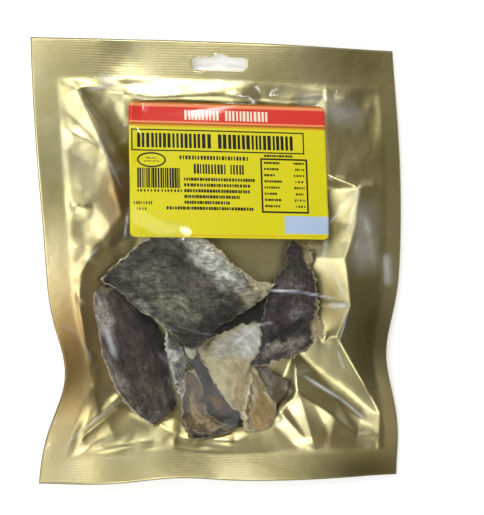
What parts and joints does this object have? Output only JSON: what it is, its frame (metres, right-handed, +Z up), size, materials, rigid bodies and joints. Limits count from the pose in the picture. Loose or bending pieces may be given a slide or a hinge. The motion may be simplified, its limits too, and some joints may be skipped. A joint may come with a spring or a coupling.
{
  "type": "sealed pouch of dried stockfish pieces",
  "caption": "Flat heat-sealed hanging pouch with a clear front, a gold metallised back, a printed sticker and dried stockfish pieces sealed inside.",
  "frame": {"origin": "bottom centre of the pouch's box, on the surface that its gold back lies on", "axes": "+X across the pouch to the right as the sticker is read, +Y up the pouch towards the hang slot, +Z up out of the clear front"},
  "size_m": [0.2108, 0.2547, 0.0262],
  "materials": {
    "gold_film": "satin metallised",
    "label_sticker": "gloss print",
    "clear_film": "clear gloss",
    "dried_fish": "dry matt"
  },
  "bodies": {
    "root": {"pouch": "gold_film", "label": "label_sticker"}
  },
  "joints": []
}
